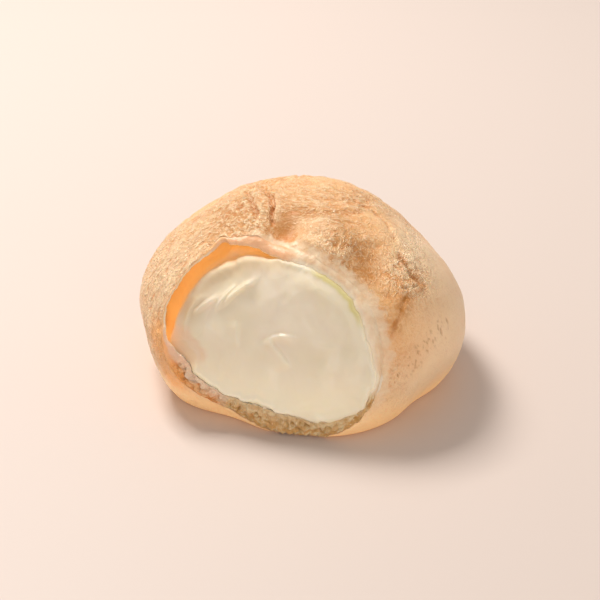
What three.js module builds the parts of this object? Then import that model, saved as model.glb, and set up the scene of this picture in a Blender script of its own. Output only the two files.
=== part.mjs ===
// A round cream puff with its front left side torn away: a hollow choux shell with a thick torn lip,
// and the soft filling that runs all through it and swells out at the opening.
//
// Millimetres, +Z up, the opening towards -Y and a little to -X. The origin is on the surface that the
// puff stands on, at the middle of the shell's footprint box.
//
// Both solids are star-shaped: every point is the hub plus a reach along a ray. The hub lies on the
// puff's upright axis, at the level where the puff is widest. Rays are counted from the mouth axis, the
// line from the hub out through the middle of the opening: "swing" is the angle away from that axis,
// and "clock" is the angle round it, from the right (0) over the top (90) and the left (180).

import * as THREE from "three";
import { mergeVertices } from "three/addons/utils/BufferGeometryUtils.js";

// ---- driving dimensions, in millimetres ----
const HALF_WIDTH = 46.3;
const HEIGHT = 52.6;
const BASE_RADIUS = 40;
const HUB_HEIGHT = 17;
const OUTSIDE_EDGE_ROUNDING = 2.6; // where the side turns under onto the flat base
const INSIDE_EDGE_ROUNDING = 9;
const WALL = 3.4;
const FLOOR_WALL = 4.2;
const INSIDE_FOLD_SHARE = 0.55; // the inside follows the crust's folds only in part
const FIT_GAP = 0.6; // between the filling and the shell, along a ray

// ---- the opening, in degrees ----
const MOUTH_AZIMUTH = -14;
const MOUTH_ELEVATION = 18;
// Swing of the torn outer edge, every 30 degrees of clock from the right, over the top and the left.
const MOUTH_SWING = [40.7, 38, 34.5, 37, 42.5, 41.5, 42, 41, 39, 41, 45.5, 44.5];
// How far the torn face leans in towards the filling, at the same clock angles.
const LIP_LEAN = [4.5, 4.5, 3.8, 6.5, 4, 0.5, 1, 4.2, 7, 12, 7.5, 1];
const LIP_WAVE = { depth: 0.8, waves: 9 };
// The torn face bulges a little between its edges: stations from its outer edge to its inner one.
const LIP_BULGE = [
  { depth: 0.35, lean: 0.5 },
  { depth: 0.7, lean: 0.85 },
];

// ---- the filling ----
// The pocket between the filling and the wall, at the upper left of the opening: the clock angle of
// its middle, half of its full part, and the soft part at each end. It drops away from the filling's
// edge over edgeWidth degrees, is full up to one swing, and closes by another, further in.
const AIR_GAP = { depth: 5.2, clock: 145, halfClock: 42, soft: 26, edgeWidth: 6, fullTo: 52, closedBy: 96 };
// Swing of the filling's edge, every 30 degrees of clock. It matters only beside the pocket.
const FILLING_EDGE = [40, 40, 38, 29.5, 30.5, 33.5, 36.2, 38.5, 40, 40, 40, 40];
const SHOULDER_PAST_EDGE = 2; // degrees, where the filling's side begins beside the pocket
// The face: its distance from the hub along the mouth axis, the swell in its middle and how wide that
// is, how much fuller it is towards one clock angle, and the rounding where it turns into the side.
const FACE = { distance: 31, swell: 5.5, swellSwing: 42, tilt: 3, fullClock: 315, rounding: 2, endSwing: 80 };

// ---- folds of the crust: azimuth from the front towards +X, elevation, half-width, depth in mm ----
const HOLLOWS = [
  { azimuth: 107, elevation: 29, spread: 27, depth: 4.2 }, // the low right shoulder
  { azimuth: -115, elevation: 39, spread: 17, depth: 2 },
  { azimuth: -149, elevation: 60, spread: 8, depth: 3 }, // the notch in the back edge
  { azimuth: -12, elevation: 64, spread: 8.5, depth: 3.4 }, // the pinch over the opening
  { azimuth: 40, elevation: 40, spread: 10, depth: 1.8 }, // the brown dip beside the opening
  { azimuth: -31, elevation: -18, spread: 16, depth: 3.6 }, // the torn front edge of the base
  { azimuth: 52, elevation: -20, spread: 12, depth: 2 },
  { azimuth: 165, elevation: 25, spread: 20, depth: 1.2 },
  { azimuth: -80, elevation: -11, spread: 13, depth: 3.4 },
];
const SWELLS = [
  { azimuth: 22, elevation: 57, spread: 10, depth: 1.8 }, // the lobe over the opening
  { azimuth: -62, elevation: 62, spread: 9, depth: 1.1 },
  { azimuth: 52, elevation: 20, spread: 12, depth: 0.9 },
  { azimuth: -140, elevation: 12, spread: 22, depth: 1 },
  { azimuth: 18, elevation: -22, spread: 15, depth: 1 },
];
// Long soft creases, each a chain of azimuth and elevation pairs.
const CREASES = [
  { path: [[2, 66], [30, 66], [62, 58], [76, 44], [78, 32], [62, 18], [50, 8]], width: 5, depth: 1.5 },
  { path: [[-14, 66], [-70, 76], [-130, 68], [-152, 56]], width: 4.2, depth: 2.4 },
];

// ---- mesh fineness ----
const CLOCK_STEPS = 56;
const OUTSIDE_RINGS = 28;
const INSIDE_RINGS = 16; // shared by the shell's inside and the filling's side, which lie face to face
const FACE_RINGS = 8;
const FINER_TOWARDS_MOUTH = 1.25; // above 1, the outside's rings lie closer together near the mouth
const SAME_POINT = 1e-3; // millimetres

const LEVEL_RAY = 1e-3; // the least downward part of a ray that still meets the floor

const radians = THREE.MathUtils.degToRad;
const TURN = 2 * Math.PI;

/** Unit vector from an azimuth, counted from -Y towards +X, and an elevation above level. */
function direction(azimuth, elevation) {
  const a = radians(azimuth);
  const e = radians(elevation);
  return new THREE.Vector3(Math.sin(a) * Math.cos(e), -Math.cos(a) * Math.cos(e), Math.sin(e));
}

const mouthAxis = direction(MOUTH_AZIMUTH, MOUTH_ELEVATION);
const clockRight = direction(MOUTH_AZIMUTH + 90, 0);
const clockTop = new THREE.Vector3().crossVectors(clockRight, mouthAxis).negate();
if (clockTop.z < 0) clockTop.negate();

/** Unit vector at a swing and a clock angle, both in radians. */
function rayAt(swing, clock) {
  const across = clockRight
    .clone()
    .multiplyScalar(Math.cos(clock))
    .addScaledVector(clockTop, Math.sin(clock));
  return mouthAxis.clone().multiplyScalar(Math.cos(swing)).addScaledVector(across, Math.sin(swing));
}

/** A smooth closed curve through values that are evenly spaced round the clock. */
function roundTheClock(values, clock) {
  const at = (((clock / TURN) % 1) + 1) % 1 * values.length;
  const first = Math.floor(at);
  const t = at - first;
  const value = (offset) => values[(first + offset + values.length) % values.length];
  const [before, from, to, after] = [value(-1), value(0), value(1), value(2)];
  const slopeFrom = (to - before) / 2;
  const slopeTo = (after - from) / 2;
  const t2 = t * t;
  const t3 = t2 * t;
  return (
    (2 * t3 - 3 * t2 + 1) * from +
    (t3 - 2 * t2 + t) * slopeFrom +
    (3 * t2 - 2 * t3) * to +
    (t3 - t2) * slopeTo
  );
}

/** The smaller of two values, with the corner between them rounded over a span. */
function roundedMin(a, b, span) {
  const share = THREE.MathUtils.clamp(0.5 + (0.5 * (b - a)) / span, 0, 1);
  return THREE.MathUtils.lerp(b, a, share) - span * share * (1 - share);
}

/** A round bump of height 1 about a direction, falling away over its spread in degrees. */
function bump(ray, { azimuth, elevation, spread }) {
  const away = ray.angleTo(direction(azimuth, elevation)) / radians(spread);
  return Math.exp(-away * away);
}

/** Distance in millimetres, at the half width, from a ray to a chain of directions. */
function distanceToPath(ray, path) {
  const points = path.map(([azimuth, elevation]) => direction(azimuth, elevation));
  const nearest = new THREE.Vector3();
  let best = Infinity;
  for (let i = 1; i < points.length; i++) {
    new THREE.Line3(points[i - 1], points[i]).closestPointToPoint(ray, true, nearest);
    best = Math.min(best, nearest.distanceTo(ray));
  }
  return best * HALF_WIDTH;
}

/** How far the folds lift the crust along a ray, in millimetres. */
function folds(ray) {
  let lift = 0;
  for (const hollow of HOLLOWS) lift -= hollow.depth * bump(ray, hollow);
  for (const swell of SWELLS) lift += swell.depth * bump(ray, swell);
  for (const { path, width, depth } of CREASES) {
    const across = distanceToPath(ray, path) / width;
    lift -= depth * Math.exp(-across * across);
  }
  return lift;
}

/** Reach from the hub to the puff's smooth outline, drawn in by an inset and cut flat by the floor. */
function bodyReach(ray, inset, floorInset, edgeRounding, foldShare) {
  const sideTuck = Math.sqrt(1 - (BASE_RADIUS / HALF_WIDTH) ** 2);
  const upDown = ray.z >= 0 ? HEIGHT - HUB_HEIGHT - inset : HUB_HEIGHT / sideTuck - inset;
  const level = Math.hypot(ray.x, ray.y) / (HALF_WIDTH - inset);
  const dome = 1 / Math.hypot(level, ray.z / upDown) + foldShare * folds(ray);
  const floor = (HUB_HEIGHT - floorInset) / Math.max(-ray.z, LEVEL_RAY);
  return roundedMin(dome, floor, edgeRounding);
}

const outsideReach = (ray) => bodyReach(ray, 0, 0, OUTSIDE_EDGE_ROUNDING, 1);
const insideReach = (ray, gap = 0) =>
  bodyReach(ray, WALL + gap, FLOOR_WALL + gap, INSIDE_EDGE_ROUNDING, INSIDE_FOLD_SHARE);

const mouthSwing = (clock) =>
  radians(roundTheClock(MOUTH_SWING, clock) + LIP_WAVE.depth * Math.sin(LIP_WAVE.waves * clock));
const lipLean = (clock) => radians(roundTheClock(LIP_LEAN, clock));

/**
 * A closed star-shaped solid. A lathe gives the rings: its profile is a list of stations, and place()
 * gives the swing and the reach of a station at a clock angle. A profile that runs from the mouth to
 * the back comes out inside out, and is turned.
 */
function starSolid(stations, place, fromMouth = false) {
  // Only the order of the lathe's points matters here, because each one is moved to its own place.
  const profile = stations.map((_, i) => {
    const angle = (Math.PI * i) / (stations.length - 1);
    return new THREE.Vector2(Math.sin(angle), -Math.cos(angle));
  });
  const lathe = new THREE.LatheGeometry(profile, CLOCK_STEPS);
  const points = lathe.getAttribute("position");
  const uv = lathe.getAttribute("uv");
  for (let i = 0; i < points.count; i++) {
    const station = stations[Math.round(uv.getY(i) * (stations.length - 1))];
    const clock = TURN * (Math.round(uv.getX(i) * CLOCK_STEPS) % CLOCK_STEPS) / CLOCK_STEPS;
    const { swing, reach } = place(station, clock);
    const point = rayAt(swing, clock).multiplyScalar(reach);
    points.setXYZ(i, point.x, point.y, point.z + HUB_HEIGHT);
  }
  lathe.deleteAttribute("normal");
  lathe.deleteAttribute("uv");
  const merged = mergeVertices(lathe, SAME_POINT);
  return withoutThinFaces(merged, fromMouth);
}

/** Drops the faces that closed up where the rings meet in a pole, and turns all faces outwards. */
function withoutThinFaces(geometry, insideOut) {
  const corners = geometry.index.array;
  const kept = [];
  for (let i = 0; i < corners.length; i += 3) {
    const [a, b, c] = corners.slice(i, i + 3);
    if (a === b || b === c || c === a) continue;
    kept.push(a, ...(insideOut ? [c, b] : [b, c]));
  }
  geometry.setIndex(kept);
  geometry.computeVertexNormals();
  return geometry;
}

/** Shares from 0 to 1 in even steps, both ends included. */
const evenShares = (steps) => Array.from({ length: steps + 1 }, (_, i) => i / steps);

/** The shell: its outside from the back to the torn edge, the torn face, and its inside to the back. */
function shellGeometry() {
  const fromBack = (share) => 1 - (1 - share) ** FINER_TOWARDS_MOUTH;
  const stations = [
    ...evenShares(OUTSIDE_RINGS).map((share) => ({ share: fromBack(share), depth: 0 })),
    ...LIP_BULGE.map((station) => ({ share: 1, ...station })),
    ...evenShares(INSIDE_RINGS)
      .reverse()
      .map((share) => ({ share, depth: 1, lean: 1 })),
  ];
  return starSolid(stations, ({ share, depth, lean = 0 }, clock) => {
    const edge = mouthSwing(clock) - lean * lipLean(clock);
    const swing = THREE.MathUtils.lerp(Math.PI, edge, share);
    const ray = rayAt(swing, clock);
    return { swing, reach: THREE.MathUtils.lerp(outsideReach(ray), insideReach(ray), depth) };
  });
}

/** How much of the air pocket there is at a clock angle, from 0 to 1. */
function pocketShare(clock) {
  const off = clock - radians(AIR_GAP.clock);
  const turned = Math.abs(Math.atan2(Math.sin(off), Math.cos(off)));
  const end = radians(AIR_GAP.halfClock + AIR_GAP.soft);
  return 1 - THREE.MathUtils.smoothstep(turned, radians(AIR_GAP.halfClock), end);
}

/** How far the filling stands off the wall, at the air pocket. */
function airGap(swing, clock) {
  const edge = roundTheClock(FILLING_EDGE, clock);
  const opening = THREE.MathUtils.smoothstep(swing, radians(edge), radians(edge + AIR_GAP.edgeWidth));
  const closing = THREE.MathUtils.smoothstep(swing, radians(AIR_GAP.fullTo), radians(AIR_GAP.closedBy));
  return AIR_GAP.depth * pocketShare(clock) * opening * (1 - closing);
}

/** Swing where the filling's face turns into its side: at the torn face, or short of the air pocket. */
function fillingShoulder(clock) {
  const besidePocket = radians(roundTheClock(FILLING_EDGE, clock) + SHOULDER_PAST_EDGE);
  return THREE.MathUtils.lerp(mouthSwing(clock) - lipLean(clock), besidePocket, pocketShare(clock));
}

/**
 * The filling: its face swells out through the mouth, and its side follows the shell's inside. It runs
 * from the mouth to the back, as the shell's inside does, so that the two split their quads alike.
 */
function fillingGeometry() {
  const stations = [
    ...evenShares(FACE_RINGS)
      .slice(1)
      .reverse()
      .map((share) => ({ share, face: true })),
    ...evenShares(INSIDE_RINGS)
      .reverse()
      .map((share) => ({ share, face: false })),
  ];
  const place = ({ share, face }, clock) => {
    const shoulder = fillingShoulder(clock);
    const swing = face ? shoulder * (1 - share) : THREE.MathUtils.lerp(Math.PI, shoulder, share);
    const ray = rayAt(swing, clock);
    const side = insideReach(ray, FIT_GAP) - airGap(swing, clock);
    if (swing > radians(FACE.endSwing)) return { swing, reach: side };
    const fromMiddle = Math.tan(swing) / Math.tan(radians(FACE.swellSwing));
    const swell = FACE.swell * Math.exp(-fromMiddle * fromMiddle);
    const tilt = FACE.tilt * Math.sin(swing) * Math.cos(clock - radians(FACE.fullClock));
    const front = (FACE.distance + swell + tilt) / Math.cos(swing);
    return { swing, reach: roundedMin(side, front, FACE.rounding) };
  };
  return starSolid(stations, place, true);
}

function mesh(name, geometry, material) {
  const made = new THREE.Mesh(geometry, material);
  made.name = name;
  return made;
}

const bakedCrust = new THREE.MeshStandardMaterial({ color: 0xd9a56c, roughness: 0.55, metalness: 0 });
const whippedCream = new THREE.MeshStandardMaterial({ color: 0xf0e6cc, roughness: 0.3, metalness: 0 });

const shell = mesh("choux_shell", shellGeometry(), bakedCrust);
const filling = mesh("cream_filling", fillingGeometry(), whippedCream);

const creamPuff = new THREE.Group();
creamPuff.add(shell, filling);

// The hub's upright axis isn't quite the middle of the uneven outline, so both pieces move to centre it.
const footprint = new THREE.Box3().setFromObject(creamPuff);
for (const piece of [shell, filling]) {
  piece.position.set(
    -(footprint.min.x + footprint.max.x) / 2,
    -(footprint.min.y + footprint.max.y) / 2,
    -footprint.min.z,
  );
}

export default creamPuff;
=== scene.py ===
"""A torn-open cream puff: a wrinkled, unevenly baked choux shell round a smooth, glossy cream filling.

Both pieces are star-shaped about a hub on the puff's upright axis. A ray from the hub is given by its
swing, the angle away from the line out through the middle of the opening, and its clock, the angle
round that line from the right (0) over the top (90) and the left (180). Shapes are worked out in
millimetres about the hub, and moved into the frame, in metres, at the end.
"""

import itertools
import math

import bmesh
import bpy
import numpy as np
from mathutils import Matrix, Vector, noise


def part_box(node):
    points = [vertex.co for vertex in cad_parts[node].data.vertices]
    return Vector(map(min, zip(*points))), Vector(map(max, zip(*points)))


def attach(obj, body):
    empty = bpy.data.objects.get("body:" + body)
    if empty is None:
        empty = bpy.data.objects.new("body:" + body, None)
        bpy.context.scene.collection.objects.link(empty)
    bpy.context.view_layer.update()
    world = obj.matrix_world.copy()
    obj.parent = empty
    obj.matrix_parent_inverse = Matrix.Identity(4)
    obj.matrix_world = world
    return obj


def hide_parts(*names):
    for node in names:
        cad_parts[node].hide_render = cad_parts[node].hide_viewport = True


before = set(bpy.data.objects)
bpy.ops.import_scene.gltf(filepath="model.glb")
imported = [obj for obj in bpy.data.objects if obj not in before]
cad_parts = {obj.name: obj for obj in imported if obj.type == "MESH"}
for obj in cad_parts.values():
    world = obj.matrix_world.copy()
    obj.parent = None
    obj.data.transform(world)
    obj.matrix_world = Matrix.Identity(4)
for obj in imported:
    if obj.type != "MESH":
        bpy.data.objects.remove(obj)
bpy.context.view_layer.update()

MM = 0.001
SHELL_LOW, SHELL_HIGH = (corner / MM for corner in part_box("choux_shell"))

# ---- driving sizes, in millimetres, worked out from the shell's box ----
HEIGHT = SHELL_HIGH.z - SHELL_LOW.z
HALF_WIDTH = 0.88 * HEIGHT
BASE_RADIUS = 0.76 * HEIGHT
HUB_HEIGHT = 0.323 * HEIGHT
OUTSIDE_EDGE_ROUNDING = 2.6
INSIDE_EDGE_ROUNDING = 9
WALL = 3.4
FLOOR_WALL = 4.2
INSIDE_FOLD_SHARE = 0.55  # how much of each broad fold shows on the shell's inside too
LEVEL_RAY = 1e-3  # the least downward part of a ray that still meets the floor

# ---- the opening, in degrees ----
MOUTH_AZIMUTH = -14
MOUTH_ELEVATION = 18
# Swing of the torn outer edge, every 30 degrees of clock.
MOUTH_SWING = [40.7, 38, 34.5, 37, 42.5, 41.5, 42, 41, 39, 41, 45.5, 44.5]
# How far the torn face leans in towards the cream, in degrees of swing, at the same clock angles.
LIP_LEAN = [4.5, 4.5, 3.8, 6.5, 4, 0.2, 0.6, 4.2, 7, 12, 7.5, 1]

# ---- the air pocket and the cream's face ----
# The pocket's depth in mm; its middle, half length and soft end round the clock; and, in degrees of
# swing, how its floor slopes off from the cream's edge and where it closes again deeper in.
AIR_GAP = {
    "depth": 5.2, "clock": 145, "half_clock": 42, "soft": 26,
    "edge_width": 9, "full_to": 52, "closed_by": 96,
}
# Clock angles between which a skin from crust to cream closes the pocket's lower end.
BRIDGED = (184, 200)
# Swing of the cream's edge, every 30 degrees of clock. It matters only beside the pocket.
CREAM_EDGE = [40, 40, 38, 29.5, 30.5, 33.5, 36.2, 38.5, 40, 40, 40, 40]
# The face's distance from the hub, its swell and its tilt in mm, and how it turns into the side.
FACE = {
    "distance": 31, "swell": 5.5, "swell_swing": 42, "tilt": 3, "full_clock": 315,
    "rounding": 2.8, "least_rounding": 0.3, "ends_at": 79,
}

# ---- how finely the pieces are divided ----
SHELL_CLOCK_STEPS = 480
BACK_RINGS = 60
FRONT_RINGS = 110
FRONT_FROM = 0.52  # share of the way from the back to the torn edge at which the finer rings start
LIP_RINGS = 15
INSIDE_RINGS = 20
CREAM_CLOCK_STEPS = 320
FACE_RINGS = 120
SIDE_RINGS = 44

# ---- floor, lights and camera, in metres and degrees ----
FLOOR_HALF_WIDTH = 2.5
WORLD_TINT = (1.0, 0.97, 0.93, 1)
WORLD_STRENGTH = 0.5
CAMERA = {"lens": 96.3, "elevation": 28, "distance": 0.45, "aim_shift": (-0.0008, 0, 0.0028)}

# ---- broad folds: azimuth from the front towards +X, elevation, spread in degrees, depth in mm ----
HOLLOWS = [
    (107, 29, 27, 4.2),  # the low right shoulder
    (-115, 39, 17, 2),
    (-149, 60, 8, 3),  # the notch in the back edge
    (-12, 64, 8.5, 3.4),  # the pinch over the opening
    (40, 40, 10, 1.8),  # the dip beside the opening
    (-31, -18, 16, 3.6),  # the torn front edge of the base
    (52, -20, 12, 2),
    (165, 25, 20, 1.2),
    (-80, -11, 13, 3.4),
]
SWELLS = [
    (22, 57, 10, 1.8),  # the lobe over the opening
    (-62, 62, 9, 1.1),
    (52, 20, 12, 0.9),
    (-140, 12, 22, 1),
    (18, -22, 15, 1),
]


def direction(azimuth, elevation):
    """Unit vector from an azimuth, counted from -Y towards +X, and an elevation above level."""
    a, e = math.radians(azimuth), math.radians(elevation)
    return np.array([math.sin(a) * math.cos(e), -math.cos(a) * math.cos(e), math.sin(e)])


MOUTH_AXIS = direction(MOUTH_AZIMUTH, MOUTH_ELEVATION)
CLOCK_RIGHT = direction(MOUTH_AZIMUTH + 90, 0)
CLOCK_TOP = np.cross(MOUTH_AXIS, CLOCK_RIGHT)
CLOCK_TOP *= np.sign(CLOCK_TOP[2])


def ray_at(swing, clock):
    """Unit vectors at swings and clock angles, both in degrees."""
    s, c = np.radians(swing), np.radians(clock)
    across = np.cos(c)[:, None] * CLOCK_RIGHT + np.sin(c)[:, None] * CLOCK_TOP
    return np.cos(s)[:, None] * MOUTH_AXIS + np.sin(s)[:, None] * across


def round_the_clock(values, clock):
    """A smooth closed curve through values that are evenly spaced round the clock."""
    values = np.asarray(values, float)
    at = (clock / 360 % 1) * len(values)
    first = np.floor(at).astype(int)
    t = at - first
    before, start, end, after = (values[(first + step) % len(values)] for step in (-1, 0, 1, 2))
    return (
        (2 * t**3 - 3 * t**2 + 1) * start
        + (t**3 - 2 * t**2 + t) * (end - before) / 2
        + (3 * t**2 - 2 * t**3) * end
        + (t**3 - t**2) * (after - start) / 2
    )


def ramp(value, start, end):
    """0 before start, 1 after end, and a smooth rise between."""
    t = np.clip((value - start) / (end - start), 0, 1)
    return t * t * (3 - 2 * t)


def window(clock, middle, half, soft):
    """1 within half of the middle clock angle, falling to 0 over soft degrees."""
    off = np.abs((clock - middle + 180) % 360 - 180)
    return 1 - ramp(off, half, half + soft)


def rounded_min(a, b, span):
    """The smaller of two values, with the corner between them rounded over a span."""
    share = np.clip(0.5 + 0.5 * (b - a) / span, 0, 1)
    return b + (a - b) * share - span * share * (1 - share)


def bump(rays, azimuth, elevation, spread):
    """A round bump of height 1 about a direction, falling away over its spread in degrees."""
    away = np.degrees(np.arccos(np.clip(rays @ direction(azimuth, elevation), -1, 1))) / spread
    return np.exp(-away * away)


def from_path(rays, path):
    """Distance in mm from a chain of directions, which side of it, and how far along it, from 0 to 1."""
    corners = np.array([direction(azimuth, elevation) for azimuth, elevation in path])
    nearest = np.full(len(rays), np.inf)
    side = np.zeros(len(rays))
    along = np.zeros(len(rays))
    for i, (a, b) in enumerate(zip(corners, corners[1:])):
        run = b - a
        t = np.clip((rays - a) @ run / (run @ run), 0, 1)
        off = rays - a - t[:, None] * run
        gap = np.linalg.norm(off, axis=1)
        closer = gap < nearest
        nearest[closer] = gap[closer]
        side[closer] = np.sign(off @ np.cross(a, run))[closer]
        along[closer] = ((i + t) / (len(corners) - 1))[closer]
    return nearest * HALF_WIDTH, side, along


def broad_folds(rays):
    """How far the broad folds lift the crust along each ray."""
    lift = np.zeros(len(rays))
    for azimuth, elevation, spread, depth in HOLLOWS:
        lift -= depth * bump(rays, azimuth, elevation, spread)
    for azimuth, elevation, spread, depth in SWELLS:
        lift += depth * bump(rays, azimuth, elevation, spread)
    return lift


def body_reach(rays, inset, floor_inset, edge_rounding, fold_share):
    """Reach from the hub to the smooth outline, drawn in by an inset and cut flat by the floor."""
    tuck = math.sqrt(1 - (BASE_RADIUS / HALF_WIDTH) ** 2)
    upright = np.where(rays[:, 2] >= 0, HEIGHT - HUB_HEIGHT - inset, HUB_HEIGHT / tuck - inset)
    level = np.hypot(rays[:, 0], rays[:, 1]) / (HALF_WIDTH - inset)
    dome = 1 / np.hypot(level, rays[:, 2] / upright) + fold_share * broad_folds(rays)
    floor = (HUB_HEIGHT - floor_inset) / np.maximum(-rays[:, 2], LEVEL_RAY)
    return rounded_min(dome, floor, edge_rounding)


def outside_reach(rays):
    """Reach from the hub to the smooth outside of the shell."""
    return body_reach(rays, 0, 0, OUTSIDE_EDGE_ROUNDING, 1)


def inside_reach(rays, gap=0.0):
    """Reach from the hub to the inside of the shell, or to a surface that is a gap short of it."""
    return body_reach(rays, WALL + gap, FLOOR_WALL + gap, INSIDE_EDGE_ROUNDING, INSIDE_FOLD_SHARE)


# ---------------------------------------------------------------- noise

GRADIENTS = np.random.default_rng(7).normal(size=(512, 3))
GRADIENTS /= np.linalg.norm(GRADIENTS, axis=1)[:, None]


def lattice_noise(points, seed):
    """Smooth noise from about -1 to 1, with one wave or so for each unit of distance."""
    cell = np.floor(points).astype(np.int64)
    within = points - cell
    fade = within**3 * (within * (within * 6 - 15) + 10)
    total = np.zeros(len(points))
    for corner in itertools.product((0, 1), repeat=3):
        at = cell + corner
        # Each lattice corner gets its own gradient, picked by a hash of its place and the seed.
        mixed = at[:, 0] * 374761393 + at[:, 1] * 668265263 + at[:, 2] * 2147483647 + seed * 974634777
        mixed = (mixed ^ (mixed >> 13)) * 1274126177
        gradient = GRADIENTS[(mixed ^ (mixed >> 16)) % len(GRADIENTS)]
        weight = np.prod(np.where(corner, fade, 1 - fade), axis=1)
        total += weight * np.sum(gradient * (within - corner), axis=1)
    return total * 1.6


def field(points, size, octaves, seed):
    """Soft noise from about -1 to 1. Its features are about size mm across."""
    total = sum(lattice_noise(points * 2**i / size, seed + i) / 2**i for i in range(octaves))
    return total / (2 - 2 ** (1 - octaves))


def folded(points, size, seed, sharpness=1.0):
    """Noise folded at zero: 0 along thin branching lines, and near 1 on the cushions between them."""
    return np.clip(np.abs(lattice_noise(points / size, seed)) * 2.2, 0, 1) ** sharpness


def wandering(points, size, amount, seed):
    """The points, each pushed sideways by noise, so that patterns on them wander."""
    pushes = [lattice_noise(points / size, seed + i) for i in range(3)]
    return points + amount * np.stack(pushes, axis=1)


def pits(points, size, seed):
    """1 at the middle of scattered round pits, 0 between them."""
    shift = Vector((seed, seed, seed))
    gaps = np.array([noise.voronoi(Vector(p) + shift)[0][0] for p in points / size])
    return 1 - ramp(gaps, 0.12, 0.5)


# ---------------------------------------------------------------- the star-shaped template

def spun_star(stations, steps):
    """A half circle with one corner for each station, spun into a ball: the bmesh, and each vertex's
    station and clock angle."""
    star = bmesh.new()
    pitch = math.pi / (len(stations) - 1)
    corners = [star.verts.new((math.sin(i * pitch), 0, -math.cos(i * pitch))) for i in range(len(stations))]
    arc = [star.edges.new(pair) for pair in zip(corners, corners[1:])]
    bmesh.ops.spin(star, geom=corners + arc, axis=(0, 0, 1), cent=(0, 0, 0), steps=steps,
                   angle=math.tau, use_merge=True)
    bmesh.ops.remove_doubles(star, verts=star.verts, dist=1e-5)
    places = np.array([v.co for v in star.verts])
    polar = np.arctan2(np.hypot(places[:, 0], places[:, 1]), -places[:, 2])
    station = np.rint(polar / pitch).astype(int)
    clock = np.degrees(np.arctan2(places[:, 1], places[:, 0])) % 360
    return star, station, clock


def shares(steps, power=1.0):
    """Shares from 0 to 1, both ends included, closer together towards 1 when the power is above 1."""
    return 1 - (1 - np.linspace(0, 1, steps + 1)) ** power


def finished_piece(name, star, places, masks, material, node):
    """Moves the template's vertices to their places in the frame and makes the piece from it."""
    for vertex, place in zip(star.verts, places * MM):
        vertex.co = place
    bmesh.ops.recalc_face_normals(star, faces=star.faces)
    for face in star.faces:
        face.smooth = True
    mesh = bpy.data.meshes.new(name)
    star.to_mesh(mesh)
    star.free()
    for mask_name, values in masks.items():
        layer = mesh.attributes.new(mask_name, "FLOAT", "POINT")
        layer.data.foreach_set("value", np.clip(values, 0, 1).astype(np.float32))
    mesh.materials.append(material)
    piece = bpy.data.objects.new(name, mesh)
    bpy.context.scene.collection.objects.link(piece)
    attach(piece, "root")
    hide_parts(node)
    return piece


# ---------------------------------------------------------------- the torn edge

def ring_places(clock, height=0.0):
    """Places on a ring about as wide as the mouth, for noise that runs round it."""
    turn = np.radians(clock)
    return np.stack([np.cos(turn), np.sin(turn), np.full(len(clock), height)], axis=1) * 30


def torn_edge(clock):
    """Swing of the torn outer edge: the smooth curve, made ragged."""
    ring = ring_places(clock)
    ragged = 1.0 * field(ring, 7, 2, 31) + 1.0 * field(ring, 2.0, 3, 84)
    calm = 1 - 0.5 * window(clock, 15, 45, 25)
    # The tip of the crust's fold hangs over the upper left of the opening.
    fold_tip = 3.2 * np.exp(-(((clock - 129) / 5) ** 2)) * ramp(clock, 124, 126.5)
    return round_the_clock(MOUTH_SWING, clock) + ragged * calm + fold_tip


def lip_lean(clock):
    """How far the torn face leans in, in degrees of swing: the smooth curve, made uneven."""
    uneven = 1 + 0.9 * window(clock, 285, 45, 20) - 0.5 * window(clock, 150, 40, 20)
    uneven *= 1 - 0.8 * window(clock, 162, 22, 14)
    lean = round_the_clock(LIP_LEAN, clock) + uneven * field(ring_places(clock, 1.0), 5, 3, 57)
    lean += 3 * window(clock, 201, 4, 9) + 1.8 * window(clock, 331, 2, 5)
    return np.maximum(lean, 0.15)


def lip_wall(clock):
    """Thickness of the wall at the torn edge. It is thin beside the air pocket, and at the lower right."""
    pocket_side = 2.8 * window(clock, 155, 36, 22)
    return WALL - pocket_side - 0.9 * window(clock, 30, 60, 20) - 1.6 * window(clock, 322, 18, 14)


def thinned_inside(rays, swing, mouth, clock, gap=0.0):
    """Reach from the hub to the shell's inner face, where the wall thins out towards the mouth."""
    inner = inside_reach(rays, gap)
    spare = outside_reach(rays) - inner - lip_wall(clock) - gap
    return inner + np.maximum(spare, 0) * np.exp(-(((swing - mouth) / 9) ** 2))


# ---------------------------------------------------------------- the crust's relief

# Sharp creases, each a chain of (azimuth, elevation), with its width and depth in mm.
CREASES = [
    ([(-140, 54), (-110, 64), (-85, 68), (-56, 66), (-44, 62)], 0.7, 1.9),
    ([(-112, 70), (-86, 76), (-60, 75), (-40, 69), (-30, 64)], 0.7, 1.9),
    ([(-86, 64), (-70, 62), (-62, 58)], 0.5, 0.5),
    ([(-30, 78), (11, 73), (37, 70), (54, 67), (72, 61), (71, 55)], 1.3, 0.35),
    ([(39, 80), (72, 76), (88, 68), (86, 60), (76, 53), (66, 47), (57, 43)], 1.1, 0.5),
    ([(59, 42), (55, 37), (53, 31), (53, 25)], 0.8, 0.8),
    ([(53, 27), (47, 28), (41, 30)], 0.4, 0.5),
    ([(46, 27), (41, 24), (35, 19), (30, 13)], 0.5, 0.5),
    ([(-152, 50), (-140, 62), (-120, 70), (-100, 76)], 1.0, 0.7),
    ([(150, 58), (165, 50), (178, 36), (176, 24)], 0.8, 0.8),
    ([(-170, 66), (-178, 52), (-168, 40)], 0.7, 0.7),
    ([(128, 40), (140, 30), (146, 18)], 0.7, 0.6),
    ([(-118, 30), (-128, 20), (-134, 8)], 0.7, 0.6),
]
# Stains along two of the creases: azimuth, elevation, spread in degrees, strength.
STAINS = [
    (43, 25, 2.2, 1), (39, 22, 2.6, 1), (35, 18, 2, 0.8),
    (55, 36, 1.3, 1), (53, 30, 2.2, 0.6), (52, 26, 2, 0.7),
]
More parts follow.
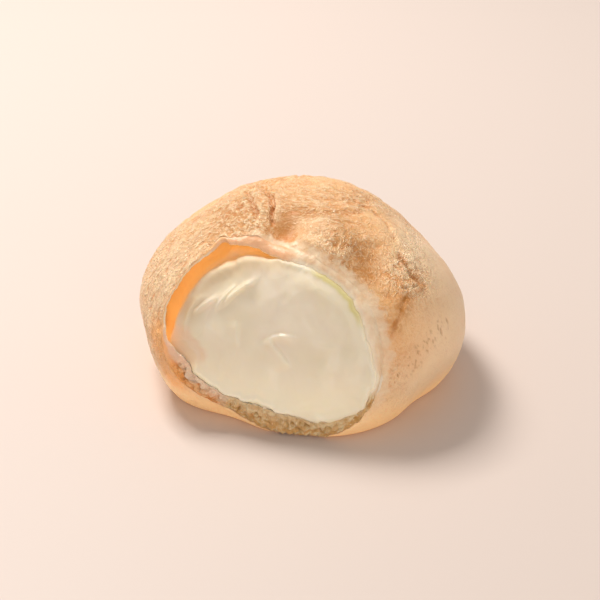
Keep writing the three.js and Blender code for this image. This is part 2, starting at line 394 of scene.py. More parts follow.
# The raised edge of the lobe over the opening, and the line that dark flecks gather along on the right.
LOBE_EDGE = [(-9, 57), (-4, 60), (4, 56), (14, 51), (21, 48)]
FLECKED = [(31, 0), (44, 8), (57, 12)]


def kinds_of_skin(rays, places):
    """How strongly each kind of skin shows along each ray, from 0 to 1."""
    calm_side = ramp(places[:, 0], 16, 32) * (1 - ramp(rays[:, 2], 0.34, 0.66))
    calm_side *= 1 - np.clip(1.3 * bump(rays, 50, 32, 9), 0, 1)
    smooth = 1.2 * bump(rays, -16, 68, 8.5) + bump(rays, -10, 56, 8) + 0.8 * bump(rays, 30, 40, 7)
    smooth = np.clip(smooth, 0, 1)
    upper_left = np.clip(1.2 * bump(rays, -85, 56, 26) + bump(rays, -66, 30, 22), 0, 1)
    left_band = np.clip(1.3 * bump(rays, -64, 22, 20) + 0.9 * bump(rays, -70, 44, 9), 0, 1)
    sideways = np.clip(1.3 * bump(rays, 30, 76, 19) + 0.8 * bump(rays, 110, 60, 22), 0, 1)
    lobe = bump(rays, 18, 55, 12)
    pebbled = bump(rays, 49, 31, 9)
    patchy = ramp(field(places, 16, 2, 120), -0.3, 0.35)
    low = 1 - ramp(rays[:, 2], -0.3, 0.15)
    wrinkled = np.clip(0.2 + 0.45 * patchy + 0.8 * upper_left + 0.25 * lobe + 0.6 * pebbled, 0, 1)
    wrinkled *= (1 - 0.95 * smooth) * (1 - 0.88 * calm_side) * (1 - 0.6 * low)
    return {
        "calm_side": calm_side, "smooth": smooth, "left_band": left_band,
        "sideways": sideways, "pebbled": pebbled, "wrinkled": wrinkled,
    }


def fine_folds(places, swing, clock, skin):
    """Lift of the wrinkles: crumpled skin in general, ringed on the left and drawn sideways over the top."""
    bent = wandering(places, 5, 1.5, 11)
    calm_side, smooth, left_band = skin["calm_side"], skin["smooth"], skin["left_band"]
    sideways, pebbled = skin["sideways"], skin["pebbled"]

    # Crumpled skin: thin raised ridges over thin sunken lines, in three sizes.
    crumple = 0.5 - folded(bent, 2.6, 21, 0.7) + 0.5 * (folded(bent, 4.6, 22, 0.8) - 0.5)
    crumple += 0.55 * (0.5 - folded(wandering(places, 2.5, 0.8, 15), 1.5, 23, 0.7))
    # Long wrinkles round the opening on the left, and from side to side over the top.
    ringwise = ring_places(clock) * 0.22
    ringwise[:, 2] = swing * math.radians(HALF_WIDTH) / 1.15
    ring_lines = 0.5 - folded(ringwise + 0.12 * bent, 1.0, 77, 0.8)
    ring_lines += 0.6 * (0.5 - folded(ringwise * 1.9 + 0.2 * bent, 1.0, 78, 0.8))
    across_top = 0.5 - folded(bent * (0.17, 1, 1), 1.7, 91, 0.8)
    across_top += 0.5 * (0.5 - folded(bent * (0.2, 1, 1), 0.95, 92, 0.8))

    lift = 0.28 * skin["wrinkled"] * crumple * (1 - 0.7 * left_band) * (1 - 0.7 * sideways)
    lift += 0.26 * left_band * ring_lines
    lift += 0.26 * sideways * across_top * (1 - smooth)
    cushions = folded(wandering(places, 9, 3, 41), 8, 42, 0.9) - 0.5
    lift += 0.3 * cushions * (1 - 0.85 * calm_side) * (1 - smooth)
    lift += 0.25 * pebbled * (folded(bent, 3.0, 66, 1.0) - 0.4)
    return lift + 0.25 * field(places, 7, 2, 150)


def lobe_lift(rays, places):
    """Lift of the lobe over the opening, of its rolled edge, and of the hollow beside it."""
    lift = 1.0 * bump(rays, 6, 62, 7) - 0.8 * bump(rays, -13, 60, 6)
    bent = wandering(places, 5, 1.5, 11)
    gap, _, _ = from_path(rays + 0.01 * bent[:, [1, 2, 0]] / 20, LOBE_EDGE)
    return lift + 0.7 * np.exp(-((gap / 1.5) ** 2)) * (1 + 0.6 * field(places, 1.6, 2, 151))


def cut_creases(shaken, places):
    """Lift of the sharp creases, each with a fold standing along one side, and how deep the cut is."""
    uneven = np.maximum(1 + 0.9 * field(places, 2.6, 2, 170), 0.5)
    lift = np.zeros(len(shaken))
    cuts = np.zeros(len(shaken))
    for path, width, depth in CREASES:
        gap, side, along = from_path(shaken, path)
        gap = gap / (width * uneven)
        fade = ramp(along, -0.05, 0.25) * (1 - ramp(along, 0.75, 1.05)) * np.minimum(uneven, 1)
        cut = np.exp(-(gap**2)) * fade
        fold = np.exp(-((gap / 3.2) ** 2)) * fade * (side > 0)
        lift += depth * (0.35 * fold * (1 - cut) - cut)
        cuts = np.maximum(cuts, cut * min(depth, 1.6))
    return lift, cuts


def crust_relief(rays, places, swing, clock):
    """What the wrinkles and creases add to the crust in mm, with masks of how it looks."""
    skin = kinds_of_skin(rays, places)
    calm_side, sideways = skin["calm_side"], skin["sideways"]
    # The creases and stains wander a little off their straight runs.
    shaken = rays + 0.02 * np.stack([field(places, 5, 2, 160 + i) for i in range(3)], axis=1)
    shaken /= np.linalg.norm(shaken, axis=1)[:, None]
    crease_lift, cuts = cut_creases(shaken, places)
    lift = fine_folds(places, swing, clock, skin) + lobe_lift(rays, places) + crease_lift

    gap, _, _ = from_path(rays, FLECKED)
    near = np.exp(-((gap / 3.0) ** 2)) * ramp(field(places * (1, 1, 0.8), 0.9, 2, 180), 0.2, 0.4)
    flecks = np.maximum(near, 0.7 * calm_side * ramp(field(places, 1.2, 2, 190), 0.6, 0.72))
    lift -= 0.25 * flecks

    # Browner where the crust baked darker, on the lobe and over the top; darker on the upper left; and
    # painted shade in the pinch hollow over the opening and the dip beside it.
    browned_and_shaded = np.clip(
        0.9 * bump(rays, -16, 68, 9) + 0.7 * bump(rays, -8, 58, 8) + bump(rays, 31, 40, 10)
        + 0.45 * bump(rays, 18, 60, 14) + 0.4 * sideways + 0.8 * bump(rays, -74, 56, 20)
        + 0.25 * field(places, 9, 3, 200) * (1 - calm_side), 0, 1)
    stained = sum(strength * bump(shaken, azimuth, elevation, spread)
                  for azimuth, elevation, spread, strength in STAINS)
    looks = {"wrinkled": skin["wrinkled"], "left_band": skin["left_band"], "sideways": sideways,
             "cuts": cuts, "flecks": flecks, "browned_and_shaded": browned_and_shaded, "stained": np.clip(stained, 0, 1)}
    return lift, looks


# ---------------------------------------------------------------- the choux shell

def torn_face(clock, across, places, lip):
    """Lift of the torn face, with masks of what it is made of.

    It is porous crumb along the bottom and curled layers at the lower left. On the right it is a smooth
    membrane, and so is the short stretch where a pale skin bridges the crust and the cream.
    """
    ragged = 6 * field(ring_places(clock, 2.0), 4, 2, 61)
    crumb = window(clock + ragged, 286, 42, 8)
    curls = window(clock + ragged, 221, 14, 8)
    right_membrane = window(clock + ragged, 35, 62, 16)
    membrane = np.clip(right_membrane + window(clock, 198, 8, 6), 0, 1)
    hump = np.sin(np.pi * across)

    pores = np.zeros(len(clock))
    lipped = np.flatnonzero(lip)
    bent = wandering(places[lipped], 3, 0.9, 50)
    pores[lipped] = np.maximum(pits(bent * (1, 1, 1.5), 2.8, 3.3), 0.8 * pits(bent, 1.4, 7.9))
    pores *= hump**0.5 * ramp(field(places, 5, 2, 62), -0.15, 0.15)

    along_rim = ring_places(clock) * 0.5
    along_rim[:, 2] = across * 9
    along_rim += 0.4 * wandering(places, 3, 1, 67)
    layers = 1.1 * (folded(along_rim, 2.4, 63) - 0.5) + 0.4 * field(places, 1.6, 2, 64)
    lift = (0.3 + 0.5 * membrane * field(ring_places(clock, 4.0), 9, 2, 68)) * hump
    lift += crumb * hump**0.5 * layers
    lift -= crumb * 1.1 * pores
    lift += curls * 1.9 * (folded(along_rim, 2.6, 65) - 0.45) * hump
    lift += (1 - crumb) * (1 - 0.8 * membrane) * 0.3 * field(places, 1.8, 3, 66)
    return lift, {"crumb": crumb, "curls": curls, "pores": pores, "right_membrane": right_membrane}


def pale_skin(rays, places, browned_and_shaded):
    """How pale the crust is: most of all near the base, on the far right and left of the opening. Left of
    the opening and over the top the paleness is a painted highlight where the key light falls, and near the
    base it is partly painted light against the shade there.
    """
    pale = (1 - ramp(rays[:, 2], -0.3, 0.3)) + 0.75 * ramp(places[:, 0], 20, 38)
    # Painted highlight: paler on the band left of the opening and over the top, where the key light falls.
    pale = pale + 0.8 * bump(rays, -70, 26, 24) + 0.25 * bump(rays, 150, 78, 26)
    pale += 0.7 * bump(rays, 78, 42, 18)
    return np.clip(pale + 0.35 * field(places, 14, 2, 210), 0, 1) * (1 - 0.7 * browned_and_shaded)


def choux_shell(material):
    """The baked shell. Returns where the hub is in the frame, in millimetres."""
    outside_shares = np.concatenate([
        np.linspace(0, FRONT_FROM, BACK_RINGS + 1)[:-1],
        np.linspace(FRONT_FROM, 1, FRONT_RINGS + 1),
    ])
    # The half circle runs from the back over the outside, across the torn lip, and back along the inside.
    stations = (
        [("outside", share) for share in outside_shares]
        + [("lip", share) for share in np.linspace(0, 1, LIP_RINGS + 1)[1:-1]]
        + [("inside", share) for share in shares(INSIDE_RINGS, 1.8)[::-1]]
    )
    star, station, clock = spun_star(stations, SHELL_CLOCK_STEPS)
    zone = np.array([kind for kind, _ in stations])[station]
    share = np.array([value for _, value in stations])[station]
    outside, lip, inside = zone == "outside", zone == "lip", zone == "inside"

    edge, lean = torn_edge(clock), lip_lean(clock)
    across = np.where(outside, 0.0, np.where(lip, share, 1.0))
    mouth = edge - lean * across
    swing = np.where(lip, mouth, 180 + (mouth - 180) * share)
    rays = ray_at(swing, clock)
    outer, inner = outside_reach(rays), thinned_inside(rays, swing, mouth, clock)
    reach = outer + (inner - outer) * across
    places = rays * reach[:, None]

    crust_lift, looks = crust_relief(rays, places, swing, clock)
    face_lift, face = torn_face(clock, across, places, lip)
    beyond = swing - edge
    on_floor = ramp(-places[:, 2], HUB_HEIGHT - 2.5, HUB_HEIGHT - 0.8)
    # On the right the edge of the crust is rolled in.
    rolled = np.where(outside, np.exp(-np.maximum(beyond, 0) / 4.5), (1 - across) ** 1.5)
    rolled *= 1.3 * face["right_membrane"]
    lift = np.where(outside, crust_lift * (1 - on_floor), face_lift * lip) - rolled
    reach = reach + lift
    places = rays * reach[:, None]
    places[:, 2] = np.maximum(places[:, 2], -HUB_HEIGHT)

    # Sunken and raised places: the finish paints shade into the grooves and a highlight on the ridges.
    groove = np.clip(-(lift + rolled + 0.08) / 0.4, 0, 1)
    ridge = np.clip((lift + rolled - 0.06) / 0.3, 0, 1)
    # The torn look spreads a little way over the outside along the right and the top of the edge.
    fading = ramp(1.0 - beyond / 5.5 + 0.6 * field(places, 2.0, 3, 220), 0.15, 0.7)
    spread_over = fading * window(clock, 40, 58, 26) * 0.8
    left_edge = window(clock, 158, 22, 16)
    left_low = bump(rays, -57, 5, 8) + bump(rays, -50, -7, 7)
    beside_pocket = window(clock, 143, 44, 13) * (1 - ramp(swing, 60, 78))

    masks = {
        "stained": looks["stained"] * outside,
        "browned_and_shaded": looks["browned_and_shaded"] * outside,
        "pale": pale_skin(rays, places, looks["browned_and_shaded"]) * outside,
        "left_low": left_low * np.where(outside, 1, 1 - ramp(across, 0.3, 0.7)),
        "near_base": (1 - ramp(places[:, 2], -HUB_HEIGHT + 2, -HUB_HEIGHT + 14)) * outside,
        # The creases' cuts add to the groove mask, and so to its painted shade.
        "groove": np.clip(groove + 0.45 * looks["cuts"], 0, 1) * outside,
        "ridge": ridge * outside,
        "wrinkled": looks["wrinkled"] * outside,
        "left_band": looks["left_band"] * outside,
        "sideways": looks["sideways"] * outside,
        "flecks": looks["flecks"] * outside,
        "torn": np.where(outside, spread_over, 1 - left_edge * (1 - ramp(across, 0.3, 1))),
        "inward": across,
        "upper_left_lip": window(clock, 108, 20, 16) * lip,
        "pink_skin": window(clock, 198, 9, 7) * lip,
        "crumb": face["crumb"] * lip,
        "curls": face["curls"] * lip,
        "pit": face["pores"] * face["crumb"] * lip,
        "glow": beside_pocket * (0.25 + 0.75 * ramp(swing - mouth, 0, 3)) * inside,
    }
    low, high = places.min(axis=0), places.max(axis=0)
    hub = np.array([*(SHELL_LOW + SHELL_HIGH) / 2])
    hub[:2] -= (low[:2] + high[:2]) / 2
    hub[2] = HUB_HEIGHT
    piece = finished_piece("baked_choux", star, places + hub, masks, material, "choux_shell")

    # Places unrolled about the mouth, so that the finish can draw wrinkles that run round it.
    round_mouth = ring_places(clock) * 0.42
    round_mouth[:, 2] = swing * math.radians(HALF_WIDTH)
    layer = piece.data.attributes.new("round_mouth", "FLOAT_VECTOR", "POINT")
    layer.data.foreach_set("vector", (round_mouth * MM).astype(np.float32).ravel())
    return hub


# ---------------------------------------------------------------- the cream

def air_gap(swing, clock):
    """How far the cream stands off the wall, at the pocket in the upper left of the opening."""
    edge = round_the_clock(CREAM_EDGE, clock)
    opening = ramp(swing, edge, edge + AIR_GAP["edge_width"])
    closing = 1 - ramp(swing, AIR_GAP["full_to"], AIR_GAP["closed_by"])
    beside = window(clock, AIR_GAP["clock"], AIR_GAP["half_clock"], AIR_GAP["soft"])
    beside = beside * (1 - ramp(clock, *BRIDGED))
    return AIR_GAP["depth"] * beside * opening * closing


# Ridges on the cream's face, each a chain of (azimuth, elevation), with its width and height in mm.
CREAM_RIDGES = [
    ([(-24, 39), (-27, 36), (-30, 34), (-34, 30), (-36, 27), (-38, 24)], 0.5, 0.95),
    ([(-35, 34), (-38, 28), (-41, 21)], 0.45, 0.6),
    ([(-41, 27), (-44, 24), (-46, 22), (-48, 19), (-50, 17)], 0.45, 0.8),
    ([(-46, 26), (-49, 23), (-51, 19), (-51, 11), (-50, 5)], 0.5, 0.6),
    ([(-30, 20), (-29, 15), (-28, 9)], 0.9, 0.6),
    ([(-17, 13), (-13, 16), (-10, 17), (-4, 17)], 0.6, 0.85),
    ([(-14, 15), (-13, 13), (-9, 9), (-5, 4)], 0.8, 0.8),
    ([(2, 14), (8, 13), (14, 12)], 1.2, 0.4),
    ([(17, 34), (20, 27), (19, 18)], 1.2, 0.4),
]


def cream_ridges(rays):
    """Height of the ridges and dabs that the spatula left. Each is steep on one side."""
    height_there = np.zeros(len(rays))
    for path, width, height in CREAM_RIDGES:
        off, side, along = from_path(rays, path)
        fade = ramp(along, -0.1, 0.3) * (1 - ramp(along, 0.7, 1.1))
        height_there += height * fade * np.exp(-((off / np.where(side > 0, width, 2.6 * width)) ** 2))
    return height_there


def face_reach(swing, clock):
    """Reach from the hub to the cream's swelling face."""
    front_swing = np.minimum(swing, FACE["ends_at"] + 1)
    from_middle = np.tan(np.radians(front_swing)) / math.tan(math.radians(FACE["swell_swing"]))
    swell = FACE["swell"] * np.exp(-from_middle**2)
    tilt = FACE["tilt"] * np.sin(np.radians(swing)) * np.cos(np.radians(clock - FACE["full_clock"]))
    return (FACE["distance"] + swell + tilt) / np.cos(np.radians(front_swing))


def cream_filling(material, hub):
    """The cream, which lies against the shell's inside except at the air pocket."""
    stations = (
        [("face", share) for share in np.linspace(0, 1, FACE_RINGS + 1)]
        + [("side", share) for share in shares(SIDE_RINGS, 2.0)[::-1][1:]]
    )
    star, station, clock = spun_star(stations, CREAM_CLOCK_STEPS)
    zone = np.array([kind for kind, _ in stations])[station]
    share = np.array([value for _, value in stations])[station]

    mouth = torn_edge(clock) - lip_lean(clock)
    beside_pocket = window(clock, 143, 50, 20)
    shoulder = mouth + 3 * beside_pocket
    swing = np.where(zone == "face", shoulder * share, 180 + (shoulder - 180) * share)
    rays = ray_at(swing, clock)
    gap = 0.05 + 0.35 * ramp(swing, 48, 75)
    side = thinned_inside(rays, swing, mouth, clock, gap) - air_gap(swing, clock)
    # The cream presses a little into the wall just behind the mouth, away from the pocket.
    side += 0.3 * np.exp(-(((swing - mouth + 1.6) / 1.4) ** 2)) * (1 - beside_pocket)
    rounding = FACE["least_rounding"] + FACE["rounding"] * window(clock, 125, 50, 24)
    rounded = rounded_min(side, face_reach(swing, clock), rounding)
    reach = np.where(swing > FACE["ends_at"], side, rounded)
    places = rays * reach[:, None]

    # Slow undulations and the ridges on the face, all fading out where the cream meets the wall.
    showing = 1 - ramp(swing, 38, 60)
    soft = 1.0 * field(wandering(places, 12, 3, 300), 12, 2, 310) + 0.32 * field(places, 5, 2, 330)
    beside_wall = ramp(swing - mouth, -6, -0.5) * (1 - window(clock, 138, 36, 20))
    edge_roll = 0.15 * np.exp(-(((swing - mouth + 1) / 1.3) ** 2)) * beside_wall
    reach = reach + showing * (soft + cream_ridges(rays)) * (1 - beside_wall) + edge_roll
    places = rays * reach[:, None]

    to_pocket = ramp(swing - round_the_clock(CREAM_EDGE, clock), -8, 0)
    masks = {
        "yellow_edge": window(clock, 36, 16, 16) * ramp(swing - mouth, -3, -1.4),
        # Where the finish paints shade on the cream by the pocket.
        "pocket_edge": window(clock, 125, 45, 25) * to_pocket,
        # Lower on the face, for painted light there.
        "lower": ramp(-places[:, 2], -9, 9),
        "right": ramp(places[:, 0], 4, 24),
        # Along the cream's rim, for painted light there.
        "rim": ramp(swing - mouth, -1.6, -0.2) * (1 - window(clock, 150, 52, 12)),
        "skinned": window(clock, 197, 9, 7) * ramp(swing - mouth, -7, -4),
    }
    finished_piece("cream", star, places + hub, masks, material, "cream_filling")


# ---------------------------------------------------------------- finishes

class Value:
    """One output of a shader node, so that shader maths reads as plain arithmetic."""

    def __init__(self, finish, socket):
        self.finish, self.socket = finish, socket

    def maths(self, operation, first, second):
        return self.finish.node("ShaderNodeMath", {"operation": operation}, {0: first, 1: second})

    def __add__(self, other):
        return self.maths("ADD", self, other)

    def __radd__(self, other):
        return self.maths("ADD", other, self)

    def __sub__(self, other):
        return self.maths("SUBTRACT", self, other)

    def __rsub__(self, other):
        return self.maths("SUBTRACT", other, self)

    def __abs__(self):
        return self.maths("ABSOLUTE", self, 0.0)

    def __mul__(self, other):
        return self.maths("MULTIPLY", self, other)

    def __rmul__(self, other):
        return self.maths("MULTIPLY", other, self)

    def clamped(self):
        return self.finish.node("ShaderNodeClamp", {}, {0: self})

    def ramped(self, start, end):
        return self.finish.node(
            "ShaderNodeMapRange", {"interpolation_type": "SMOOTHSTEP"},
            {"Value": self, "From Min": start, "From Max": end})


class Finish:
    """A material being made: its node tree, and one way to add any node to it."""

    def __init__(self, name):
        self.material = bpy.data.materials.new(name)
        self.material.use_nodes = True
        self.tree = self.material.node_tree
        self.tree.nodes.clear()

    def node(self, kind, settings, inputs, output=0):
        made = self.tree.nodes.new(kind)
        for name, value in settings.items():
            setattr(made, name, value)
        for key, value in inputs.items():
            if isinstance(value, Value):
                self.tree.links.new(value.socket, made.inputs[key])
            else:
                made.inputs[key].default_value = value
        return Value(self, made.outputs[output]) if made.outputs else None

    def mask(self, name):
        return self.node("ShaderNodeAttribute", {"attribute_name": name}, {}, "Fac")

    def place(self):
        return self.node("ShaderNodeTexCoord", {}, {}, "Object")

    def round_mouth(self):
        """Places unrolled about the mouth, and shortened along its rim, so that noise runs round it."""
        return self.node("ShaderNodeAttribute", {"attribute_name": "round_mouth"}, {}, "Vector")

    def shortened(self, scale):
        """Places shortened along some axes, so that noise is drawn out along them."""
        return self.node("ShaderNodeVectorMath", {"operation": "MULTIPLY"}, {0: self.place(), 1: scale})

    def noise(self, size, detail=3.0, roughness=0.55, distortion=0.0, where=None):
        """Noise whose features are about size mm across."""
        return self.node(
            "ShaderNodeTexNoise", {},
            {"Vector": where or self.place(), "Scale": 1 / (size * MM), "Detail": detail,
             "Roughness": roughness, "Distortion": distortion})

    def wrinkles(self, size, where=None):
        """From 0 to 1: thin raised lines over soft hollows, in two sizes."""
        coarse = 1 - (abs(self.noise(size, 3, 0.48, 0.8, where) - 0.5) * 6.5).clamped()
        fine = 1 - (abs(self.noise(size * 0.5, 3, 0.5, 0.4, where) - 0.5) * 6).clamped()
        return coarse * 0.6 + fine * 0.4

    def spots(self, size):
        """Distance from the nearest of scattered points about size mm apart."""
        return self.node("ShaderNodeTexVoronoi", {}, {"Vector": self.place(), "Scale": 1 / (size * MM)})

    def mixed(self, factor, first, second):
        """A mix of two colours, by the Mix node's colour sockets."""
        return self.node(
            "ShaderNodeMix", {"data_type": "RGBA"}, {0: factor, 6: first, 7: second}, 2)

    def raised(self, height, strength, distance_mm):
        return self.node(
            "ShaderNodeBump", {},
            {"Height": height, "Strength": strength, "Distance": distance_mm * MM})

    def surface(self, inputs):
        shader = self.node("ShaderNodeBsdfPrincipled", {}, inputs)
        self.node("ShaderNodeOutputMaterial", {}, {"Surface": shader})
        return self.material


def colour(red, green, blue):
    """A colour from 0 to 255 screen values, made linear."""
    linear = [((c / 255 + 0.055) / 1.055) ** 2.4 if c > 10 else c / 3294.6 for c in (red, green, blue)]
    return (*linear, 1.0)


# The crust's skin.
GOLDEN = colour(240, 184, 124)
DEEP_GOLDEN = colour(230, 166, 104)
# The pale tones are partly painted light: a painted highlight where the key light falls, and painted light
# round the base.
PALE_CRUST = colour(248, 216, 176)
BASE_CRUST = colour(248, 208, 152)
# Browner crust, and painted shade in the hollows by the opening.
BROWNED_AND_SHADED = colour(198, 134, 70)
# Painted shade for the wrinkles' hollows and the folds' grooves, and a painted highlight for the crests.
WRINKLE_SHADE = colour(208, 128, 70)
FOLD_SHADE = colour(204, 132, 72)
CREST_HIGHLIGHT = colour(255, 223, 180)
STAIN = colour(192, 120, 40)
FLECK = colour(172, 120, 74)
SPECK = colour(176, 118, 70)
ORANGE_CRUST = colour(254, 178, 100)
# The torn face and the wall beside the pocket.
MEMBRANE = colour(240, 216, 184)
MEMBRANE_SHADE = colour(230, 194, 154)
MEMBRANE_INNER = colour(244, 226, 200)
MEMBRANE_UPPER_LEFT = colour(232, 178, 134)
PINK_SKIN = colour(238, 194, 162)
CRUMB_SHADE = colour(218, 166, 100)
CRUMB = colour(230, 197, 146)
CRUMB_INNER = colour(226, 202, 162)
CRUMB_LIGHT = colour(248, 230, 196)
PORE = colour(172, 124, 34)
CURL_SHADE = colour(220, 138, 66)
CURL = colour(238, 180, 122)
# The thin wall's light peach and yellow are partly painted light, for the light that comes through it from
# behind.
CURL_INNER = colour(240, 204, 172)
THIN_WALL = colour(248, 208, 160)
THIN_WALL_YELLOW = colour(255, 216, 150)
# Light of the surface's own, in the thin wall and round the base.
LIT_THROUGH = colour(252, 198, 120)
LIT_BASE = colour(166, 120, 70)
# The cream.
CREAM = colour(238, 224, 202)
CREAM_SHADE = colour(232, 218, 190)
# Painted light on the lower face of the cream.
CREAM_LOWER = colour(255, 240, 212)
# The cream's greener tint to the right, darkened as painted shade.
CREAM_RIGHT = colour(222, 212, 176)
# Painted shade on the cream by the pocket.
CREAM_POCKET_SHADE = colour(208, 180, 138)
# Painted light along the cream's rim.
CREAM_RIM_LIGHT = colour(255, 238, 206)
CREAM_YELLOW_EDGE = colour(212, 196, 118)
CREAM_SKINNED = colour(236, 204, 176)
LIT_RIM = colour(255, 232, 200)
UNLIT = colour(0, 0, 0)
# The floor.
WARM_GREY = colour(210, 195, 186)


def crust_skin(f, crumples, roughened):
    """Colour of the crust's outside: golden, paler or browner by region, partly painted light and shade,
    with painted shade down in each wrinkle and fold and painted highlights on the crests.
    """
    browned_and_shaded, pale, stained = f.mask("browned_and_shaded"), f.mask("pale"), f.mask("stained")
    groove, ridge, flecks = f.mask("groove"), f.mask("ridge"), f.mask("flecks")
    golden = f.mixed(f.noise(9, 4).ramped(0.35, 0.65), GOLDEN, DEEP_GOLDEN)
    skin = f.mixed(pale * 0.85, golden, PALE_CRUST)
    # Paler and yellower near the base: partly the crust's own paler base, partly painted light against the
    # shade under the puff.
    skin = f.mixed(f.mask("near_base") * 0.7, skin, BASE_CRUST)
    dark = (browned_and_shaded + 0.35 * (f.noise(4, 4) - 0.5)).ramped(0.2, 1.0)
    # Browner crust, partly painted shade in the pinch hollow and the dip beside the opening.
    skin = f.mixed(dark * 0.85, skin, BROWNED_AND_SHADED)
    # Painted shade: darker down in the wrinkles' hollows and in the grooves of the folds and creases.
    skin = f.mixed((1 - crumples).ramped(0.5, 0.95) * roughened * 0.7, skin, WRINKLE_SHADE)
    skin = f.mixed(groove.ramped(0.15, 1.0) * 0.65, skin, FOLD_SHADE)
    # Painted highlight: the wrinkles' crests and the ridges are lightened as if catching the light.
    crest_highlight = (crumples.ramped(0.5, 0.9) * roughened * 0.8 + ridge * 0.35).clamped()
    skin = f.mixed(crest_highlight, skin, CREST_HIGHLIGHT)
    skin = f.mixed((stained * f.noise(1.2, 3).ramped(0.3, 0.55)) * 0.85, skin, STAIN)
    skin = f.mixed(flecks * 0.6, skin, FLECK)
    speck = (1 - f.spots(1.7).ramped(0.06, 0.16)) * f.noise(8, 2).ramped(0.52, 0.66)
    return f.mixed(speck * 0.4, skin, SPECK)


def torn_face_tones(f, streaks):
    """Colour of the torn face: pale membrane, streaky crumb with darker pores, and orange-edged curls."""
    inward = f.mask("inward")
    membrane = f.mixed(f.noise(3, 3).ramped(0.35, 0.7), MEMBRANE, MEMBRANE_SHADE)
    membrane = f.mixed(inward.ramped(0.5, 1.0), membrane, MEMBRANE_INNER)
    membrane = f.mixed(f.mask("upper_left_lip"), membrane, MEMBRANE_UPPER_LEFT)
    membrane = f.mixed(f.mask("pink_skin"), membrane, PINK_SKIN)
    crumb = f.mixed(streaks.ramped(0.42, 0.6), CRUMB_SHADE, CRUMB)
    crumb = f.mixed(inward.ramped(0.3, 0.9) * 0.5, crumb, CRUMB_INNER)
    crumb = f.mixed(f.noise(0.9, 3).ramped(0.58, 0.68) * 0.5, crumb, CRUMB_LIGHT)
    crumb = f.mixed(f.mask("pit") * 0.85, crumb, PORE)
    curls = f.mixed(streaks.ramped(0.4, 0.6), CURL_SHADE, CURL)
    curls = f.mixed((inward + 0.5 * (streaks - 0.5)).ramped(0.45, 0.75), curls, CURL_INNER)
    tones = f.mixed(f.mask("crumb"), membrane, crumb)
    return f.mixed(f.mask("curls"), tones, curls)


def baked_crust():
    """One finish for the whole shell: the crust outside, the torn face, and the thin wall inside."""
    f = Finish("baked_crust")
    wrinkled, left_band, sideways = f.mask("wrinkled"), f.mask("left_band"), f.mask("sideways")
    torn, crumb, curls, glow = f.mask("torn"), f.mask("crumb"), f.mask("curls"), f.mask("glow")

    # Wrinkles in general, bent round the mouth on its left and drawn sideways over the top.
    crumples = f.wrinkles(1.8)
    crumples = crumples + (f.wrinkles(1.3, f.round_mouth()) - crumples) * left_band * 0.8
    crumples = crumples + (f.wrinkles(1.4, f.shortened((0.35, 1, 1))) - crumples) * sideways * 0.8
    roughened = (0.1 + 1.0 * wrinkled + 0.55 * left_band + 0.35 * sideways).clamped()
    fine = f.noise(0.5, 3, 0.6)
    streaks = f.noise(1.2, 3, 0.55, 0.4, f.round_mouth())

    # Painted light: the thin wall beside the pocket is coloured light peach and yellow, as if lit through
    # from behind, besides its own light below.
    thin_wall = f.mixed(f.noise(9, 3).ramped(0.35, 0.65), THIN_WALL, THIN_WALL_YELLOW)
    inner = f.mixed(glow, torn_face_tones(f, streaks), thin_wall)
    base = f.mixed(torn, crust_skin(f, crumples, roughened), inner)
    orange = (f.mask("left_low") + 0.5 * (f.noise(2.5, 3) - 0.5)).ramped(0.1, 1.0)
    base = f.mixed(orange * 0.75, base, ORANGE_CRUST)

    skin_height = crumples * roughened + fine * (0.2 + 0.3 * roughened)
    torn_height = streaks * (crumb + curls) + fine * (0.3 + 0.5 * crumb + 0.4 * curls)
    height = (skin_height + (torn_height - skin_height) * torn) * (1 - glow)
    rough = 0.4 - 0.2 * crumples * roughened + 0.16 * (f.noise(3, 3) - 0.5) + 0.14 * f.mask("groove")
    rough = (rough + (0.36 - 0.12 * curls - rough) * torn * (1 - crumb)).clamped()

    # The thin wall beside the pocket should look lit through from behind, and the lamps leave the base
    # too dark, so the surface gives a little light of its own in both places.
    streaky = f.noise(4, 3, 0.5, 0.3, f.round_mouth()).ramped(0.2, 0.7)
    own_light = f.mixed(glow * (0.45 + 0.55 * streaky), UNLIT, LIT_THROUGH)
    own_light = f.mixed(f.mask("near_base") * (1 - glow) * 0.6, own_light, LIT_BASE)
    return f.surface({
        "Base Color": base,
        "Roughness": rough,
        "Normal": f.raised(height, strength=1.0, distance_mm=0.5),
        "Subsurface Weight": 0.1,
        "Subsurface Radius": (1.0, 0.45, 0.2),
        "Subsurface Scale": 0.002,
        "IOR": 1.45,
        "Emission Color": own_light,
        "Emission Strength": 0.9,
    })


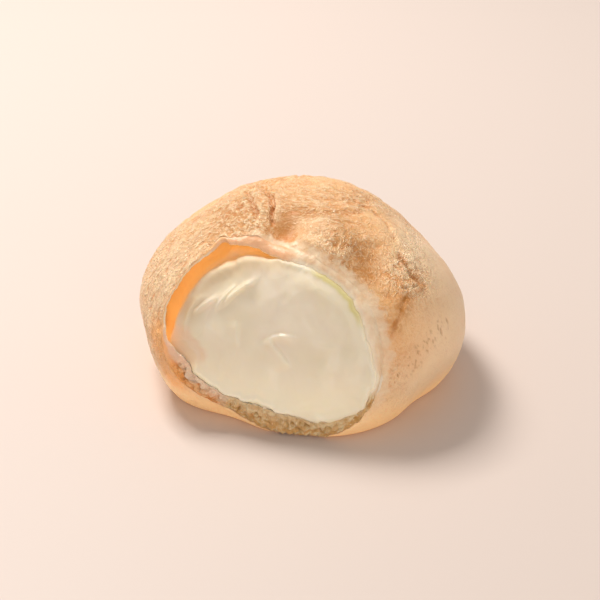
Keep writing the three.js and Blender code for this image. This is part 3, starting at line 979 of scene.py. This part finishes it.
def whipped_cream():
    """The cream's finish: smooth and glossy, duller beside the pocket, and yellow at the upper right. Its
    tones are partly painted light and shade: painted shade beside the pocket and to the right, painted light
    towards the bottom and along the rim, which also gives a little light of its own.
    """
    f = Finish("whipped_cream")
    rim, pocket_edge = f.mask("rim"), f.mask("pocket_edge")
    tone = f.mixed(f.noise(14, 2).ramped(0.3, 0.7), CREAM, CREAM_SHADE)
    # Painted light: the lower face is lighter and warmer, as if lit by the front light and the floor below.
    tone = f.mixed(f.mask("lower") * 0.8, tone, CREAM_LOWER)
    # Greener towards the right, the cream's own tint, and darker there, which is painted shade.
    tone = f.mixed(f.mask("right") * 0.35, tone, CREAM_RIGHT)
    # Painted shade: the cream's edge by the pocket is darker and browner, where the shell's roof shades it.
    tone = f.mixed(pocket_edge * 0.6, tone, CREAM_POCKET_SHADE)
    # Painted light: the cream is lightened along its rim against the lip, where the crevice is in shade, and
    # the rim also gives light of its own.
    tone = f.mixed(rim * 0.6, tone, CREAM_RIM_LIGHT)
    # Yellow-green and darker in a line near the cream's edge at the upper right.
    tone = f.mixed(f.mask("yellow_edge") * 0.75, tone, CREAM_YELLOW_EDGE)
    tone = f.mixed(f.mask("skinned") * 0.6, tone, CREAM_SKINNED)
    return f.surface({
        "Base Color": tone,
        "Roughness": 0.27 + 0.35 * pocket_edge,
        "Normal": f.raised(f.noise(3.5, 2, 0.4), strength=0.12, distance_mm=0.4),
        "Subsurface Weight": 0.5,
        "Subsurface Radius": (1.0, 0.8, 0.55),
        "Subsurface Scale": 0.004,
        "IOR": 1.42,
        "Emission Color": f.mixed(rim, UNLIT, LIT_RIM),
        "Emission Strength": 0.1,
    })


def pale_floor():
    f = Finish("pale_floor")
    return f.surface({"Base Color": WARM_GREY, "Roughness": 0.55})


# ---------------------------------------------------------------- floor, lights and camera

def floor(material):
    sheet = bmesh.new()
    bmesh.ops.create_grid(sheet, x_segments=1, y_segments=1, size=FLOOR_HALF_WIDTH)
    mesh = bpy.data.meshes.new("floor")
    sheet.to_mesh(mesh)
    sheet.free()
    mesh.materials.append(material)
    piece = bpy.data.objects.new("floor", mesh)
    bpy.context.scene.collection.objects.link(piece)


def soft_light(name, azimuth, elevation, distance, size, watts, tint, aim):
    """A square soft light on the line out from the aim at an azimuth and elevation, facing the aim."""
    lamp = bpy.data.lights.new(name, "AREA")
    lamp.shape = "SQUARE"
    lamp.size = size
    lamp.energy = watts
    lamp.color = tint
    light = bpy.data.objects.new(name, lamp)
    out = Vector(direction(azimuth, elevation))
    light.location = aim + out * distance
    light.rotation_euler = out.to_track_quat("Z", "Y").to_euler()
    bpy.context.scene.collection.objects.link(light)


def camera(aim):
    lens = bpy.data.cameras.new("camera")
    lens.lens = CAMERA["lens"]
    eye = bpy.data.objects.new("camera", lens)
    out = Vector(direction(0, CAMERA["elevation"]))
    eye.location = aim + out * CAMERA["distance"]
    eye.rotation_euler = out.to_track_quat("Z", "Y").to_euler()
    bpy.context.scene.collection.objects.link(eye)
    bpy.context.scene.camera = eye


def studio(hub):
    middle = Vector(hub) * MM
    world = bpy.data.worlds.new("studio")
    world.use_nodes = True
    background = world.node_tree.nodes["Background"]
    background.inputs["Color"].default_value = WORLD_TINT
    background.inputs["Strength"].default_value = WORLD_STRENGTH
    bpy.context.scene.world = world
    bpy.context.scene.view_settings.view_transform = "Standard"
    soft_light("key", azimuth=-142, elevation=56, distance=0.9, size=0.3, watts=8.6,
               tint=(1.0, 0.95, 0.9), aim=middle)
    soft_light("fill", azimuth=8, elevation=16, distance=1.2, size=0.9, watts=4.3,
               tint=(1.0, 0.97, 0.95), aim=middle)
    camera(middle + Vector(CAMERA["aim_shift"]))


floor(pale_floor())
hub = choux_shell(baked_crust())
cream_filling(whipped_cream(), hub)
studio(hub)
